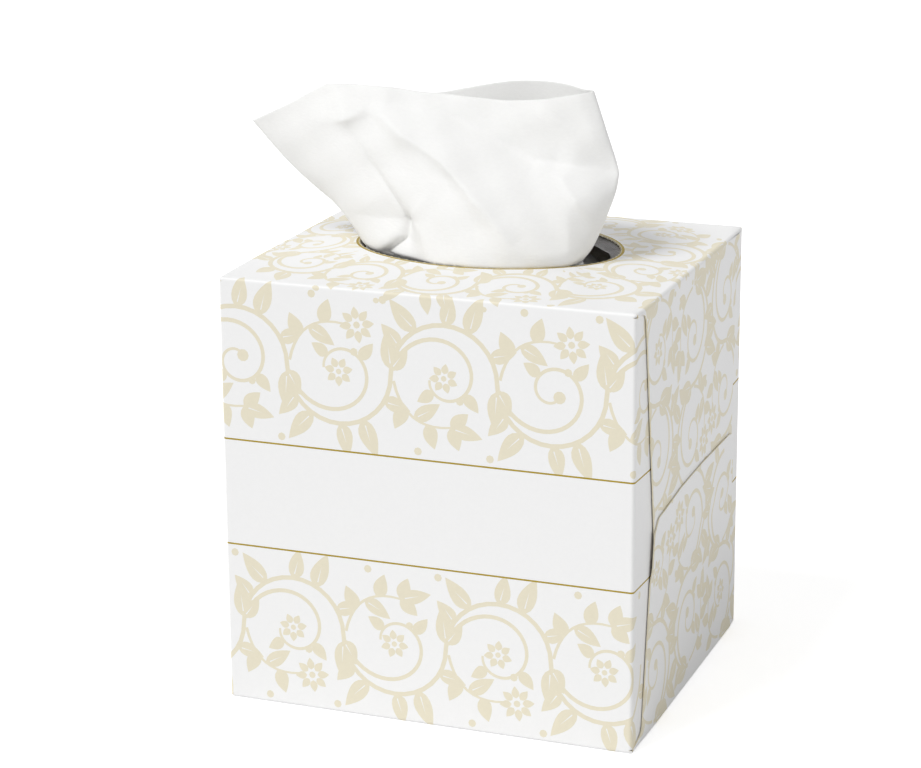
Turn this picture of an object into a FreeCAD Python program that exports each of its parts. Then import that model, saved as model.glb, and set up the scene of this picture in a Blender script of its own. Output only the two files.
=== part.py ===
import FreeCAD, Part
import math
import os
import Sketcher

# A cube-shaped carton of facial tissues. One printed board is folded into a tube round the X axis
# and closed at both ends by glued flaps. A film with a slit lies under the oval hole in the top,
# the interfolded tissues stand in the carton as an arch, and the top tissue comes up through the slit.
# Origin: centre of the base, on the surface that the carton stands on. +Z up, front panel at -Y.

doc = FreeCAD.newDocument("tissue_box")
os.makedirs("parts", exist_ok=True)

# Driving sizes in millimetres
SIZES = (
    ("box_length", 119.0),
    ("box_depth", 105.0),
    ("box_height", 123.0),
    ("board", 0.5),
    ("fold_radius", 1.5),
    ("fold_strip", 2.0),
    ("dust_flap_reach", 45.0),
    ("dust_flap_gap", 0.2),
    ("relief_inset", 8.0),
    ("relief_drop", 2.5),
    ("near_taper", 8.5),
    ("far_taper", 1.5),
    ("flap_corner", 3.5),
    ("lower_flap_reach", 63.5),
    ("flap_overlap", 14.0),
    ("flap_step", 6.0),
    ("glue_lap", 14.0),
    ("hole_length", 76.0),
    ("hole_width", 56.0),
    ("film", 0.2),
    ("film_margin", 8.0),
    ("slit_length", 71.0),
    ("slit_width", 12.0),
    ("pack_side_gap", 1.5),
    ("pack_room", 7.0),
    ("crown_flat", 8.0),
    ("tissue", 0.4),
    ("seat_gap", 0.3),
    ("slit_gap", 1.2),
    ("throat_reach", 1.6),
    ("skirt_reach", 33.0),
    ("tissue_rise", 43.5),
    ("left_reach", 72.5),
    ("right_reach", 39.5),
)

sheet = doc.addObject("Spreadsheet::Sheet", "sizes")
for row, (alias, value) in enumerate(SIZES, start=1):
    sheet.set(f"A{row}", alias)
    sheet.set(f"B{row}", str(value))
    sheet.setAlias(f"B{row}", alias)
doc.recompute()


def size(alias):
    """Value of one driving size, in millimetres."""
    return float(getattr(sheet, alias))


# Sketch and feature helpers

def new_body(label):
    body = doc.addObject("PartDesign::Body", label)
    body.Label = label
    return body


def new_sketch(body, name, role, offset=None):
    """Empty sketch on one of the body's own origin planes, moved along its normal by an expression."""
    sketch = body.newObject("Sketcher::SketchObject", name)
    plane = next(item for item in body.Origin.OriginFeatures if item.Role == role)
    sketch.AttachmentSupport = [(plane, "")]
    sketch.MapMode = "FlatFace"
    if offset:
        sketch.setExpression("AttachmentOffset.Base.z", offset)
    return sketch


def add_outline(sketch, corners):
    """Closed outline of straight lines; each corner is a pair of expressions that holds it in place."""
    points = [FreeCAD.Vector(*(float(sketch.evalExpression(term)) for term in corner), 0) for corner in corners]
    first = sketch.GeometryCount
    count = len(points)
    for index in range(count):
        sketch.addGeometry(Part.LineSegment(points[index], points[(index + 1) % count]), False)
    for index in range(count):
        following = first + (index + 1) % count
        sketch.addConstraint(Sketcher.Constraint("Coincident", first + index, 2, following, 1))
    for index, corner in enumerate(corners):
        for kind, value, term in zip(("DistanceX", "DistanceY"), points[index], corner):
            held = sketch.addConstraint(Sketcher.Constraint(kind, -1, 1, first + index, 1, value))
            sketch.setExpression(f"Constraints[{held}]", term)


def add_oval(sketch, long_axis, short_axis):
    """Ellipse on the sketch origin, its long axis along X; both axes are expressions."""
    half_long = float(sketch.evalExpression(long_axis)) / 2
    half_short = float(sketch.evalExpression(short_axis)) / 2
    centre = FreeCAD.Vector(0, 0, 0)
    oval = sketch.addGeometry(
        Part.Ellipse(FreeCAD.Vector(half_long, 0, 0), FreeCAD.Vector(0, half_short, 0), centre), False)
    sketch.exposeInternalGeometry(oval)
    major, minor = oval + 1, oval + 2
    sketch.addConstraint(Sketcher.Constraint("Coincident", oval, 3, -1, 1))
    sketch.addConstraint(Sketcher.Constraint("Horizontal", major))
    for line, value, term in ((major, 2 * half_long, long_axis), (minor, 2 * half_short, short_axis)):
        held = sketch.addConstraint(Sketcher.Constraint("Distance", line, value))
        sketch.setExpression(f"Constraints[{held}]", term)


def add_pad(body, name, sketch, length, midplane=False):
    doc.recompute()
    pad = body.newObject("PartDesign::Pad", name)
    pad.Profile = sketch
    pad.setExpression("Length", length)
    pad.Midplane = midplane
    doc.recompute()
    return pad


def add_pocket(body, name, sketch, length, along_normal=False):
    doc.recompute()
    before = body.Shape.Volume
    pocket = body.newObject("PartDesign::Pocket", name)
    pocket.Profile = sketch
    pocket.setExpression("Length", length)
    pocket.Reversed = along_normal
    doc.recompute()
    if body.Shape.Volume >= before:
        raise RuntimeError(f"{name} cuts nothing")
    return pocket


def add_fillet(body, name, base, radius, wanted):
    """Rounds the edges of the base feature whose midpoint and direction pass the test."""
    names = []
    for index, edge in enumerate(base.Shape.Edges, start=1):
        if edge.Curve.TypeId == "Part::GeomLine" and wanted(edge.CenterOfMass, edge.tangentAt(edge.FirstParameter)):
            names.append(f"Edge{index}")
    if not names:
        raise RuntimeError(f"{name} finds no edge")
    fillet = body.newObject("PartDesign::Fillet", name)
    fillet.Base = (base, names)
    fillet.setExpression("Radius", radius)
    doc.recompute()
    return fillet


def near(value, target):
    return abs(abs(value) - target) < 1e-4


# Carton

HALF_LENGTH = "sizes.box_length / 2"
HALF_DEPTH = "sizes.box_depth / 2"
TUBE_END = "(sizes.box_length / 2 - sizes.fold_strip)"
INNER_RADIUS = "sizes.fold_radius - sizes.board"


def build_tube(body):
    """Front, top, back and bottom panels: one folded band of board round the X axis."""
    sketch = new_sketch(body, "tube_section", "YZ_Plane")
    for inset in ("0", "sizes.board"):
        side = f"({HALF_DEPTH} - {inset})"
        low = inset
        high = f"sizes.box_height - {inset}"
        add_outline(sketch, [(f"-{side}", low), (side, low), (side, high), (f"-{side}", high)])
    pad = add_pad(body, "tube", sketch, f"2 * {TUBE_END}", midplane=True)
    half_depth = size("box_depth") / 2
    outer = add_fillet(body, "tube_folds", pad, "sizes.fold_radius",
                       lambda at, along: abs(along.x) > 0.9 and near(at.y, half_depth))
    return add_fillet(body, "tube_inner_folds", outer, INNER_RADIUS,
                      lambda at, along: abs(along.x) > 0.9 and near(at.y, half_depth - size("board")))


def build_dust_flaps(body):
    """Four flaps from the ends of the front and back panels, folded in behind the outer flaps."""
    base_height = "(sizes.fold_radius + sizes.dust_flap_gap)"
    sketch = new_sketch(body, "dust_flap_sections", "XY_Plane", base_height)
    reach = f"({HALF_DEPTH} - sizes.dust_flap_reach)"
    for end in ("", "-"):
        for side in ("", "-"):
            outline = [
                (TUBE_END, HALF_DEPTH),
                (HALF_LENGTH, HALF_DEPTH),
                (HALF_LENGTH, reach),
                (f"{HALF_LENGTH} - sizes.board", reach),
                (f"{HALF_LENGTH} - sizes.board", f"{HALF_DEPTH} - sizes.board"),
                (TUBE_END, f"{HALF_DEPTH} - sizes.board"),
            ]
            add_outline(sketch, [(f"{end}({x})", f"{side}({y})") for x, y in outline])
    pad = add_pad(body, "dust_flaps", sketch, f"sizes.box_height - 2 * {base_height}")
    half_length = size("box_length") / 2
    half_depth = size("box_depth") / 2
    board = size("board")
    outer = add_fillet(body, "dust_flap_folds", pad, "sizes.fold_radius",
                       lambda at, along: abs(along.z) > 0.9 and near(at.x, half_length) and near(at.y, half_depth))
    return add_fillet(body, "dust_flap_inner_folds", outer, INNER_RADIUS,
                      lambda at, along: abs(along.z) > 0.9 and near(at.x, half_length - board)
                      and near(at.y, half_depth - board))


def build_outer_flap(body, name, section):
    """Pair of outer flaps, one on each end, padded across the hinge from their section in XZ."""
    sketch = new_sketch(body, f"{name}_section", "XZ_Plane")
    for end in ("", "-"):
        add_outline(sketch, [(f"{end}({x})", z) for x, z in section])
    return add_pad(body, name, sketch, "sizes.box_depth - 2 * sizes.fold_radius", midplane=True)


def round_flap_folds(body, name, pad, outer_level, inner_level):
    """Rounds the folds between a flap pair and its panel, outside and inside."""
    half_length = size("box_length") / 2
    outer = add_fillet(body, f"{name}_folds", pad, "sizes.fold_radius",
                       lambda at, along: abs(along.y) > 0.9 and near(at.x, half_length + size("board"))
                       and near(at.z, outer_level))
    return add_fillet(body, f"{name}_inner_folds", outer, INNER_RADIUS,
                      lambda at, along: abs(along.y) > 0.9 and near(at.x, half_length)
                      and near(at.z, inner_level))


def build_upper_flaps(body):
    free_edge = "sizes.lower_flap_reach - sizes.flap_overlap"
    top = "sizes.box_height"
    pad = build_outer_flap(body, "upper_flaps", [
        (TUBE_END, top),
        (f"{HALF_LENGTH} + sizes.board", top),
        (f"{HALF_LENGTH} + sizes.board", free_edge),
        (HALF_LENGTH, free_edge),
        (HALF_LENGTH, f"{top} - sizes.board"),
        (TUBE_END, f"{top} - sizes.board"),
    ])
    return round_flap_folds(body, "upper_flap", pad, size("box_height"), size("box_height") - size("board"))


def build_lower_flaps(body):
    """Lower flaps lie on the dust flaps, then step out over the ends of the upper flaps."""
    step_end = "(sizes.lower_flap_reach - sizes.flap_overlap - sizes.board)"
    step_start = f"({step_end} - sizes.flap_step)"
    pad = build_outer_flap(body, "lower_flaps", [
        (TUBE_END, "0"),
        (f"{HALF_LENGTH} + sizes.board", "0"),
        (f"{HALF_LENGTH} + sizes.board", step_start),
        (f"{HALF_LENGTH} + 2 * sizes.board", step_end),
        (f"{HALF_LENGTH} + 2 * sizes.board", "sizes.lower_flap_reach"),
        (f"{HALF_LENGTH} + sizes.board", "sizes.lower_flap_reach"),
        (f"{HALF_LENGTH} + sizes.board", step_end),
        (HALF_LENGTH, step_start),
        (HALF_LENGTH, "sizes.board"),
        (TUBE_END, "sizes.board"),
    ])
    return round_flap_folds(body, "lower_flap", pad, 0, size("board"))


def cut_flap_sides(body):
    """Trims the sides of the outer flaps: a corner relief beside each fold, then a taper to the free end."""
    fold_top = "sizes.box_height - sizes.fold_radius"
    fold_base = "sizes.fold_radius"
    root = f"({HALF_DEPTH} - sizes.fold_radius)"
    relief = f"({HALF_DEPTH} - sizes.relief_inset)"
    clear = f"({HALF_DEPTH} + sizes.board)"
    for end, level in (("right", HALF_LENGTH), ("left", f"-{HALF_LENGTH} - 3 * sizes.board")):
        sketch = new_sketch(body, f"{end}_flap_sides", "YZ_Plane", level)
        for side, taper in (("-", "sizes.near_taper"), ("", "sizes.far_taper")):
            add_outline(sketch, [(f"{side}({y})", z) for y, z in (
                (clear, fold_base), (root, fold_base), (relief, f"{fold_base} + sizes.relief_drop"),
                (f"{relief} - {taper}", "sizes.lower_flap_reach"),
                (relief, f"{fold_top} - sizes.relief_drop"), (root, fold_top), (clear, fold_top))])
        add_pocket(body, f"{end}_flap_side_cut", sketch, "3 * sizes.board", along_normal=True)


def cut_flap_corners(body):
    """Takes the free corners off the lower flaps, where they lie on the upper ones."""
    top = "sizes.lower_flap_reach"
    low = f"{top} - sizes.flap_corner"
    clear = f"{top} + sizes.board"
    for end, level in (("right", f"{HALF_LENGTH} + sizes.board"), ("left", f"-{HALF_LENGTH} - 2 * sizes.board")):
        sketch = new_sketch(body, f"{end}_flap_corners", "YZ_Plane", level)
        for side, taper in (("-", "sizes.near_taper"), ("", "sizes.far_taper")):
            edge = f"({HALF_DEPTH} - sizes.relief_inset - {taper})"
            add_outline(sketch, [(f"{side}({y})", z) for y, z in (
                (f"{edge} + sizes.flap_corner", low), (edge, low),
                (f"{edge} - sizes.flap_corner", top), (f"{edge} - sizes.flap_corner", clear),
                (f"{edge} + sizes.flap_corner", clear))])
        add_pocket(body, f"{end}_flap_corner_cut", sketch, "sizes.board", along_normal=True)


def build_glue_lap(body):
    """Strip that closes the tube, glued inside the back panel along the bottom fold."""
    sketch = new_sketch(body, "glue_lap_outline", "YZ_Plane")
    inside = f"({HALF_DEPTH} - sizes.board)"
    add_outline(sketch, [
        (inside, "sizes.fold_radius"), (inside, "sizes.fold_radius + sizes.glue_lap"),
        (f"{inside} - sizes.board", "sizes.fold_radius + sizes.glue_lap"),
        (f"{inside} - sizes.board", "sizes.fold_radius")])
    return add_pad(body, "glue_lap", sketch, f"2 * ({TUBE_END} - sizes.fold_strip)", midplane=True)


def build_carton():
    body = new_body("carton")
    build_tube(body)
    build_dust_flaps(body)
    build_upper_flaps(body)
    build_lower_flaps(body)
    cut_flap_sides(body)
    cut_flap_corners(body)
    build_glue_lap(body)
    hole = new_sketch(body, "hole_outline", "XY_Plane", "sizes.box_height")
    add_oval(hole, "sizes.hole_length", "sizes.hole_width")
    add_pocket(body, "hole", hole, "2 * sizes.board")
    return body


# Film under the hole

def build_film():
    body = new_body("slit_film")
    half_length = "(sizes.hole_length / 2 + sizes.film_margin)"
    half_width = "(sizes.hole_width / 2 + sizes.film_margin)"
    level = "sizes.box_height - sizes.board - sizes.film"
    sheet_sketch = new_sketch(body, "film_outline", "XY_Plane", level)
    add_outline(sheet_sketch, [
        (f"-{half_length}", f"-{half_width}"), (half_length, f"-{half_width}"),
        (half_length, half_width), (f"-{half_length}", half_width)])
    add_pad(body, "film", sheet_sketch, "sizes.film")
    slit = new_sketch(body, "slit_outline", "XY_Plane", "sizes.box_height - sizes.board")
    add_oval(slit, "sizes.slit_length", "sizes.slit_width")
    add_pocket(body, "slit", slit, "2 * sizes.film")
    return body


# Pack of interfolded tissues

PACK_HALF = "(sizes.box_length / 2 - sizes.board - sizes.pack_side_gap)"
PACK_TOP = "(sizes.box_height - sizes.board - sizes.film - sizes.pack_room)"
CROWN_RADIUS = "(sizes.box_length / 2 - sizes.board - sizes.pack_side_gap - sizes.crown_flat)"


def build_pack():
    """The leaves run up one side, over the crown and down the other, pressed together where they meet."""
    body = new_body("tissue_pack")
    base = "sizes.board"
    sketch = new_sketch(body, "arch_section", "XZ_Plane")
    add_outline(sketch, [
        (f"-{PACK_HALF}", base), (PACK_HALF, base), (PACK_HALF, PACK_TOP), (f"-{PACK_HALF}", PACK_TOP)])
    pad = add_pad(body, "arch", sketch, "sizes.box_depth - 4 * sizes.board - 2 * sizes.pack_side_gap", midplane=True)
    top = size("box_height") - size("board") - size("film") - size("pack_room")
    add_fillet(body, "crown", pad, CROWN_RADIUS,
               lambda at, along: abs(along.y) > 0.9 and near(at.z, top))
    return body


# Tissue that stands out of the slit

COLUMNS = 23
COLUMN_DEGREE = 3
ROW_DEGREE = 2
LEFT_OPEN = math.radians(12)
# A smooth sheet runs a little inside its poles where it lies over the crown
POLE_SLACK = 0.25
# Share of the half width where the sheet's top edge turns down to its free corner
CORNER_START = 0.5


def crown_height(x, clearance):
    """Height of a point that keeps its clearance above the pack's crown, at x from its middle."""
    top = size("box_height") - size("board") - size("film") - size("pack_room")
    half = size("box_length") / 2 - size("board") - size("pack_side_gap")
    radius = half - size("crown_flat")
    past = max(0.0, abs(x) - size("crown_flat"))
    return top - radius + math.sqrt(max(0.0, (radius + clearance) ** 2 - past ** 2))


def tissue_rows():
    """Rows of the sheet from the pack up: left, right, front, back, height, peak, tip drop, pleat."""
    seat = size("seat_gap") + size("tissue") / 2 + POLE_SLACK
    slit_x = size("slit_length") / 2 - size("slit_gap")
    slit_y = size("slit_width") / 2 - size("slit_gap")
    rim_x = size("hole_length") / 2
    rim_y = size("hole_width") / 2
    skirt = size("skirt_reach")
    left = size("left_reach")
    right = size("right_reach")
    top = size("box_height")
    slit_level = top - size("board") - size("film") / 2
    throat = size("throat_reach")
    rise = size("tissue_rise")
    return (
        (-slit_x - 8, slit_x + 8, skirt, skirt, seat, None, 0, 0),
        (-slit_x - 2, slit_x + 2, skirt / 3, skirt / 3, seat, None, 0, 0),
        (-slit_x, slit_x, slit_y, slit_y, slit_level - throat, 0, 0, 0),
        (-slit_x, slit_x, slit_y, slit_y, slit_level + throat, 0, 0, 0),
        (-rim_x + 2, rim_x - 8, 0.74 * rim_y, 0.38 * rim_y, top + 0.09 * rise, 0, 0, 0.3),
        (-0.7 * left, 0.89 * right, 0.62 * rim_y, 0.4 * rim_y, top + 0.3 * rise, 0, 0.5, 1.2),
        (-0.92 * left, right, 0.42 * rim_y, 0.52 * rim_y, top + 0.62 * rise, 0.5, 2, 2.2),
        (-left, 0.8 * right, 0.2 * rim_y, 0.62 * rim_y, top + rise, 4, 11, 2.6),
    )


def tissue_point(row, turn):
    """Point of one row at an angle round the folded sheet: 180 to 360 degrees is the front layer."""
    left, right, front, back, height, peak, tip_drop, pleat = row
    across = math.cos(turn)
    deep = math.sin(turn)
    x = (left + right) / 2 + (right - left) / 2 * across
    y = deep * (back if deep > 0 else front)
    y += pleat * math.sin(5 * turn) * abs(deep)
    if peak is None:
        return FreeCAD.Vector(x, y, crown_height(x, height))
    corner = max(0.0, (-across - CORNER_START) / (1 - CORNER_START))
    return FreeCAD.Vector(x, y, height + peak * max(0.0, across) ** 3 - tip_drop * corner)


def offset_grid(grid, distance):
    """Grid of points moved along the surface normals that its neighbours give."""
    moved = []
    last_row = len(grid) - 1
    last_column = len(grid[0]) - 1
    for i, line in enumerate(grid):
        moved.append([])
        for j, point in enumerate(line):
            along = line[min(j + 1, last_column)] - line[max(j - 1, 0)]
            up = grid[min(i + 1, last_row)][j] - grid[max(i - 1, 0)][j]
            normal = along.cross(up)
            moved[-1].append(point + normal.normalize() * distance)
    return moved


def knots(count, degree):
    """Clamped, evenly spaced knots and their multiplicities for a number of poles."""
    inner = count - degree
    return [degree + 1] + [1] * (inner - 1) + [degree + 1], [step / inner for step in range(inner + 1)]


def smooth_surface(poles, degrees):
    """B-spline surface that a grid of poles pulls into shape, so it never swings out past them."""
    mults, values = zip(*(knots(count, degree) for count, degree in zip((len(poles), len(poles[0])), degrees)))
    surface = Part.BSplineSurface()
    surface.buildFromPolesMultsKnots(poles, *mults, *values, False, False, *degrees)
    return surface


def thin_solid(grid, thickness):
    """Closed sheet of even thickness that follows a grid of poles."""
    inner, outer = (offset_grid(grid, side * thickness) for side in (-0.5, 0.5))
    rims = (
        [inner[0], outer[0]],
        [inner[-1], outer[-1]],
        [[line[0] for line in inner], [line[0] for line in outer]],
        [[line[-1] for line in inner], [line[-1] for line in outer]],
    )
    surfaces = [smooth_surface(poles, (ROW_DEGREE, COLUMN_DEGREE)) for poles in (inner, outer)]
    surfaces += [smooth_surface(poles, (1, COLUMN_DEGREE)) for poles in rims[:2]]
    surfaces += [smooth_surface(poles, (1, ROW_DEGREE)) for poles in rims[2:]]
    skin = Part.makeCompound([surface.toShape() for surface in surfaces])
    skin.sewShape()
    solid = Part.Solid(skin.Shells[0])
    if solid.Volume < 0:
        solid.reverse()
    return solid


def build_popup_tissue():
    turns = [math.pi + LEFT_OPEN + (2 * math.pi - 2 * LEFT_OPEN) * step / (COLUMNS - 1) for step in range(COLUMNS)]
    grid = [[tissue_point(row, turn) for turn in turns] for row in tissue_rows()]
    feature = doc.addObject("Part::Feature", "popup_tissue")
    feature.Label = "popup_tissue"
    feature.Shape = thin_solid(grid, size("tissue"))
    feature.Placement = FreeCAD.Placement()
    return feature


# Build, check and write

pieces = [build_carton(), build_film(), build_pack(), build_popup_tissue()]
doc.recompute()

for item in doc.Objects:
    if "Invalid" in item.State or "Error" in item.State:
        raise RuntimeError(f"{item.Name} failed: {item.State}")
for piece in pieces:
    shape = piece.Shape
    if shape.isNull() or not shape.isValid() or len(shape.Solids) != 1:
        raise RuntimeError(f"{piece.Label} is not one valid solid")
    print(piece.Label, "volume", round(shape.Volume, 1), "box", shape.BoundBox)
for piece in pieces:
    piece.Shape.exportStep(f"parts/{piece.Label}.step")
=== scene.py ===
import math
import random

import bpy
import numpy as np
from mathutils import Matrix, Vector
from mathutils.geometry import delaunay_2d_cdt


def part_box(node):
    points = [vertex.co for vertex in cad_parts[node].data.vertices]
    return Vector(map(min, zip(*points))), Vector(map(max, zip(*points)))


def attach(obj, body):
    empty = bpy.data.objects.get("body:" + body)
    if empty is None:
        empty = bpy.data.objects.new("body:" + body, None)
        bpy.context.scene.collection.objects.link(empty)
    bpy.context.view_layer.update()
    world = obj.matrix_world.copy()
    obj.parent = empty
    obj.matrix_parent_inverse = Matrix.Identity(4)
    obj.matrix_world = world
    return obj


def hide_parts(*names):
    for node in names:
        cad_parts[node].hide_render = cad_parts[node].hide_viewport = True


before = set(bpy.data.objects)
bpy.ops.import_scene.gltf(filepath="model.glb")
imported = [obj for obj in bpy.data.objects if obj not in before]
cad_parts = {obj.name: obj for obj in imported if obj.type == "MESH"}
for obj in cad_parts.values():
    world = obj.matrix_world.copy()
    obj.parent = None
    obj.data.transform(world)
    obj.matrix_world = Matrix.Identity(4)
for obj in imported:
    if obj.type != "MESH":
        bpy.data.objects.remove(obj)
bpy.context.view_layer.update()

# Lengths below are millimetres, and meshes are made in metres
MM = 0.001
TAU = 2 * math.pi

# Carton, from the frame
_, carton_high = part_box("carton")
BOARD = 0.4
CAD_BOARD = 0.5
HALF_LENGTH = carton_high.x / MM - 2 * CAD_BOARD
HALF_DEPTH = carton_high.y / MM
HEIGHT = carton_high.z / MM
FOLD = 0.95
ARC = math.pi / 2 * FOLD
ARC_STEPS = 5

# Blank: how far each part of the board reaches
DUST_REACH = 45.0
DUST_LEAN = 0.012
LAP_REACH = 14.0
LAP_TUCK = 0.55
LOWER_REACH = 63.5
UPPER_END = 49.5
STEP = (43.0, 49.0)
RELIEF = (8.0, 2.5)
NEAR_TAPER = 8.5
FAR_TAPER = 1.5

# Hole in the top
HOLE = (38.0, 28.0)
NIBS = 78
NIB_REACH = 0.35
RIM_BARE = 0.15
RIM_GOLD = 0.85
SWELL = 3.0

# Bare band on the front and back, with a gold line on each side
BAND = (46.3, 77.0)
GOLD_LINE = 0.48
LINE_DROP = 0.05

# Print: radius of a scroll on the front and back, round the hole and on the ends
SCROLL = 15.2
RING_SCROLL = 10.6
RING_BAYS = 14
END_SCROLL = 14.6
END_ROW = 33.5

# Pack: half the width of its flat crown, the leaves that show and the steps of an arch's quarter turn
CROWN_FLAT = 8.0
LEAVES = 46
ARCH_STEPS = 20

# Tissue: thickness, and the camera's line of sight in x and z for each millimetre of y
TISSUE_THICKNESS = 0.16
SIGHT = (-0.387, -0.232)

# Camera
CAMERA_AT = (0.26125, -0.7137, 0.30945)
CAMERA_YAW = 20.733
CAMERA_PITCH = 15.588
CAMERA_ROLL = -0.37
LENS = 108.39
SENSOR = 36.0
SHIFT_UP = -0.05

# Light
SKY = 0.52
SUN = 1.7
SUN_WAY = (0.17, 0.24, -0.41)
SUN_SPREAD = 20.0
FLOOR_GLOW = 0.48


# Small helpers

def linear(red, green, blue):
    """Linear colour of an sRGB colour given from 0 to 255."""
    return tuple(((level / 255 + 0.055) / 1.055) ** 2.4 if level > 10 else level / 255 / 12.92
                 for level in (red, green, blue))


def smoothstep(value, low, high):
    share = np.clip((value - low) / (high - low), 0, 1)
    return share * share * (3 - 2 * share)


def new_object(name, mesh, replaced):
    """Links a mesh as a piece that rides on the body and stands for one CAD node."""
    piece = bpy.data.objects.new(name, mesh)
    bpy.context.scene.collection.objects.link(piece)
    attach(piece, "root")
    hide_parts(replaced)
    return piece


def thicken(piece, thickness):
    solid = piece.modifiers.new("thickness", "SOLIDIFY")
    solid.thickness = thickness * MM
    solid.offset = 0


# Materials

def new_material(name, colour, roughness, specular=0.5):
    material = bpy.data.materials.new(name)
    material.use_nodes = True
    shader = material.node_tree.nodes["Principled BSDF"]
    shader.inputs["Base Color"].default_value = (*colour, 1)
    shader.inputs["Roughness"].default_value = roughness
    shader.inputs["Specular IOR Level"].default_value = specular
    return material, shader


def add_noise(material, scale, detail, stretch=(1, 1, 1)):
    """Noise in the piece's own coordinates, in features per metre."""
    tree = material.node_tree
    coordinates = tree.nodes.new("ShaderNodeTexCoord")
    mapping = tree.nodes.new("ShaderNodeMapping")
    mapping.inputs["Scale"].default_value = stretch
    noise = tree.nodes.new("ShaderNodeTexNoise")
    noise.inputs["Scale"].default_value = scale
    noise.inputs["Detail"].default_value = detail
    tree.links.new(coordinates.outputs["Object"], mapping.inputs["Vector"])
    tree.links.new(mapping.outputs["Vector"], noise.inputs["Vector"])
    return noise


def vary_colour(material, noise, low, high):
    """Runs the base colour between two colours along the noise."""
    tree = material.node_tree
    ramp = tree.nodes.new("ShaderNodeValToRGB")
    ramp.color_ramp.elements[0].position = 0.3
    ramp.color_ramp.elements[0].color = (*low, 1)
    ramp.color_ramp.elements[1].position = 0.7
    ramp.color_ramp.elements[1].color = (*high, 1)
    tree.links.new(noise.outputs["Fac"], ramp.inputs["Fac"])
    tree.links.new(ramp.outputs["Color"], tree.nodes["Principled BSDF"].inputs["Base Color"])


def add_bump(material, noise, distance, strength):
    tree = material.node_tree
    bump = tree.nodes.new("ShaderNodeBump")
    bump.inputs["Distance"].default_value = distance * MM
    bump.inputs["Strength"].default_value = strength
    tree.links.new(noise.outputs["Fac"], bump.inputs["Height"])
    tree.links.new(bump.outputs["Normal"], tree.nodes["Principled BSDF"].inputs["Normal"])


def shade(colour, factor):
    return tuple(channel * factor for channel in colour)


def print_material(name, colour, roughness, spread, specular):
    """Ink or bare coating on board: faint mottle and the fine unevenness of coated paper."""
    material, _ = new_material(name, colour, roughness, specular)
    noise = add_noise(material, 900, 4)
    vary_colour(material, noise, shade(colour, 1 - spread), shade(colour, 1 + spread))
    add_bump(material, noise, 0.02, 0.25)
    return material


def board_materials():
    white = print_material("board_white", linear(241, 241, 241), 0.42, 0.006, 0.35)
    beige = print_material("print_beige", linear(229, 222, 200), 0.45, 0.012, 0.3)
    gold = print_material("print_gold", linear(168, 144, 38), 0.5, 0.08, 0.2)
    gold.node_tree.nodes["Principled BSDF"].inputs["Metallic"].default_value = 0.15
    edge = print_material("board_edge", linear(236, 228, 204), 0.9, 0.05, 0.1)
    inside = print_material("board_inside", linear(180, 169, 152), 0.95, 0.06, 0.1)
    return [white, beige, gold, edge, inside]


WHITE_SLOT, BEIGE_SLOT, GOLD_SLOT, EDGE_SLOT, INSIDE_SLOT = range(5)


def film_material():
    """Hazy thin film: half clear, with long faint draw marks. Its grey is partly the film's haze and partly
    painted shade of the dark inside of the box.
    """
    # Grey base colour: the film's own haze plus painted shade that stands in for the dark box inside beneath
    # it
    material, shader = new_material("film_haze_painted_shade", linear(170, 167, 168), 0.35, 0.5)
    shader.inputs["Alpha"].default_value = 0.33
    noise = add_noise(material, 120, 3, (1, 6, 1))
    vary_colour(material, noise, linear(152, 149, 150), linear(184, 181, 182))
    add_bump(material, noise, 0.3, 0.3)
    return material


def tissue_material():
    """Soft two-ply tissue: matt, lets some light through, with a fine crepe."""
    material, shader = new_material("tissue_paper", linear(254, 254, 253), 1.0, 0.05)
    shader.inputs["Sheen Weight"].default_value = 0.08
    shader.inputs["Sheen Roughness"].default_value = 0.6
    fibres = add_noise(material, 800, 5, (1, 1, 2.5))
    vary_colour(material, fibres, linear(252, 252, 251), linear(255, 255, 254))
    add_bump(material, fibres, 0.12, 0.5)
    tree = material.node_tree
    through = tree.nodes.new("ShaderNodeBsdfTranslucent")
    through.inputs["Color"].default_value = (*linear(250, 250, 248), 1)
    mix = tree.nodes.new("ShaderNodeMixShader")
    mix.inputs["Fac"].default_value = 0.13
    output = tree.nodes["Material Output"]
    tree.links.new(shader.outputs["BSDF"], mix.inputs[1])
    tree.links.new(through.outputs["BSDF"], mix.inputs[2])
    tree.links.new(mix.outputs["Shader"], output.inputs["Surface"])
    return material


def leaf_material():
    """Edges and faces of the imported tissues."""
    material, _ = new_material("packed_tissue", linear(240, 239, 236), 1.0, 0.05)
    noise = add_noise(material, 300, 4, (1, 1, 3))
    vary_colour(material, noise, linear(232, 228, 218), linear(246, 243, 235))
    add_bump(material, noise, 0.3, 0.5)
    return material


# Blank: the board's printed side laid flat, u along the box, v round the tube

FRONT = (0.0, HEIGHT - 2 * FOLD)
TOP = (FRONT[1] + ARC, FRONT[1] + ARC + 2 * (HALF_DEPTH - FOLD))
BACK_SHORT = 0.3
BACK = (TOP[1] + ARC, TOP[1] + ARC + HEIGHT - FOLD - BACK_SHORT)
BOTTOM = (-ARC - 2 * (HALF_DEPTH - FOLD) + LAP_TUCK, -ARC)
LAP = (BOTTOM[0] - ARC - LAP_REACH, BOTTOM[0] - ARC)
TOP_MIDDLE = (TOP[0] + TOP[1]) / 2
DUST_FOLD = HALF_LENGTH - FOLD
OUTER_FOLD = HALF_LENGTH + CAD_BOARD - FOLD
CORNER = DUST_FOLD + 1.1 * FOLD
SLIT = 0.25
CORNER_SHARE = 0.3
CORNER_FADE = 5.0
LAP_END = HALF_LENGTH - 4
BLANK_REACH = 134.0


def round_fold(past):
    """Distance along and distance in, for a point that lies past the start of a fold."""
    if past <= 0:
        return past, 0.0
    if past < ARC:
        angle = past / FOLD
        return FOLD * math.sin(angle), FOLD * (1 - math.cos(angle))
    return FOLD, FOLD + past - ARC


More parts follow.
